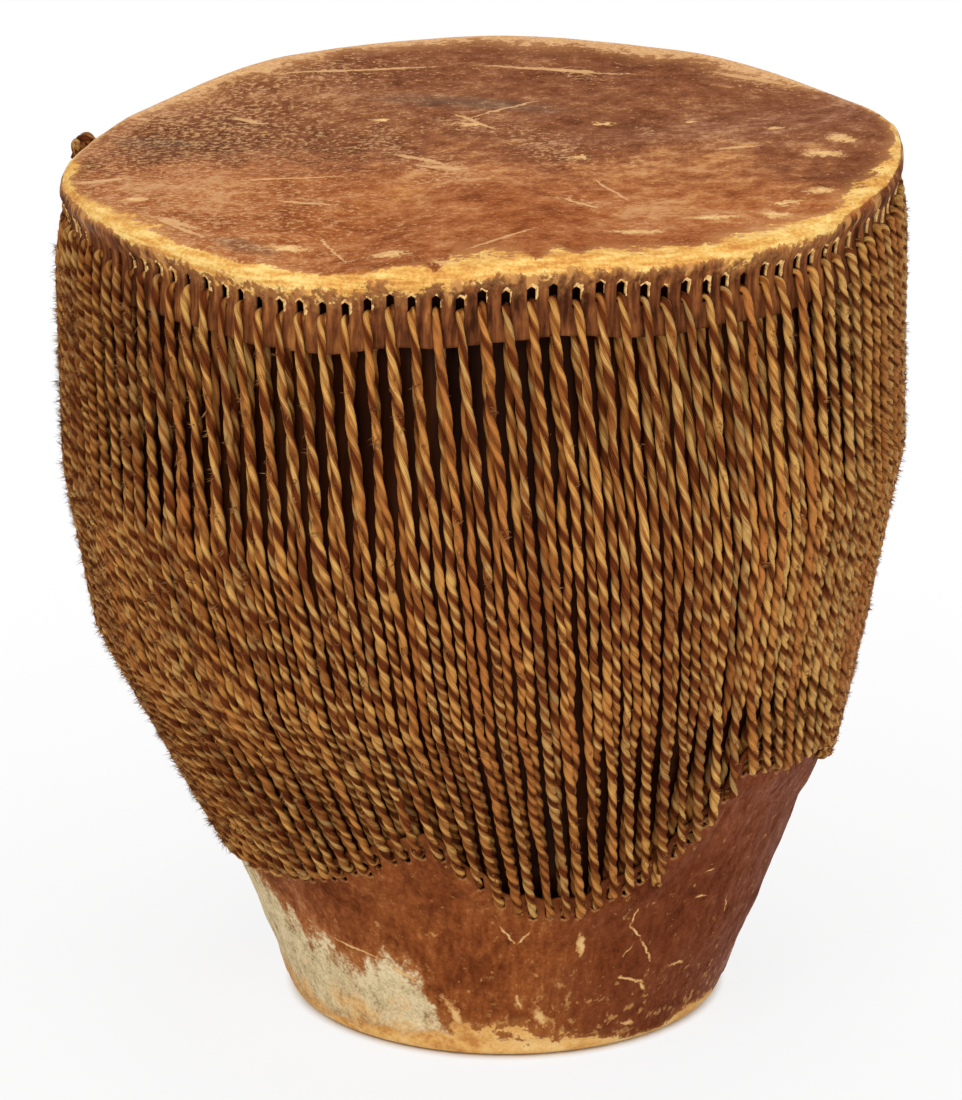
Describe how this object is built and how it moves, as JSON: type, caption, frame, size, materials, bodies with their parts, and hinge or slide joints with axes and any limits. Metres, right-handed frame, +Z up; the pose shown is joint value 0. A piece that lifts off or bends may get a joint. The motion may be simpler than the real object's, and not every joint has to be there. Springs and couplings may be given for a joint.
{
  "type": "laced hide drum",
  "caption": "Tall bowl-shaped drum: carved wooden shell, a hide over each end, rawhide zigzag lacing between them and a swinging carrying loop.",
  "frame": {"origin": "centre of the flat underside, where the lower hide meets the ground", "axes": "+Z up; azimuth 0 looks along +Y at the side seen in the picture, +X to the right; the carrying loop hangs at the back left"},
  "size_m": [0.4061, 0.4056, 0.4368],
  "materials": {
    "shell_wood": "matte",
    "head_hide": "worn, short hair",
    "foot_hide": "short glossy hair",
    "thong": "dry twisted rawhide",
    "link_thong": "dry twisted rawhide",
    "loop_rope": "dry twisted rawhide"
  },
  "bodies": {
    "drum": {"wooden_shell": "shell_wood", "upper_skin": "head_hide", "lower_skin": "foot_hide", "lacing_thong_01": "thong", "lacing_thong_02": "thong", "lacing_thong_03": "thong", "lacing_thong_04": "thong", "lacing_thong_05": "thong", "lacing_thong_06": "thong", "lacing_thong_07": "thong", "lacing_thong_08": "thong", "lacing_thong_09": "thong", "lacing_thong_10": "thong", "lacing_thong_11": "thong", "lacing_thong_12": "thong", "lacing_thong_13": "thong", "lacing_thong_14": "thong", "lacing_thong_15": "thong", "lacing_thong_16": "thong", "lacing_thong_17": "thong", "lacing_thong_18": "thong", "lacing_thong_19": "thong", "lacing_thong_20": "thong", "lacing_thong_21": "thong", "lacing_thong_22": "thong", "lacing_thong_23": "thong", "lacing_thong_24": "thong", "loop_link_back": "link_thong", "loop_link_left": "link_thong"},
    "loop": {"carry_loop": "loop_rope"}
  },
  "joints": [
    {"name": "loop_swing", "type": "hinge", "parent": "drum", "child": "loop", "pos_m": [-0.18197, 0.11739, 0.39984], "axis": [0.5763, 0.8078, 0.1237], "range_deg": [0, 150]}
  ]
}
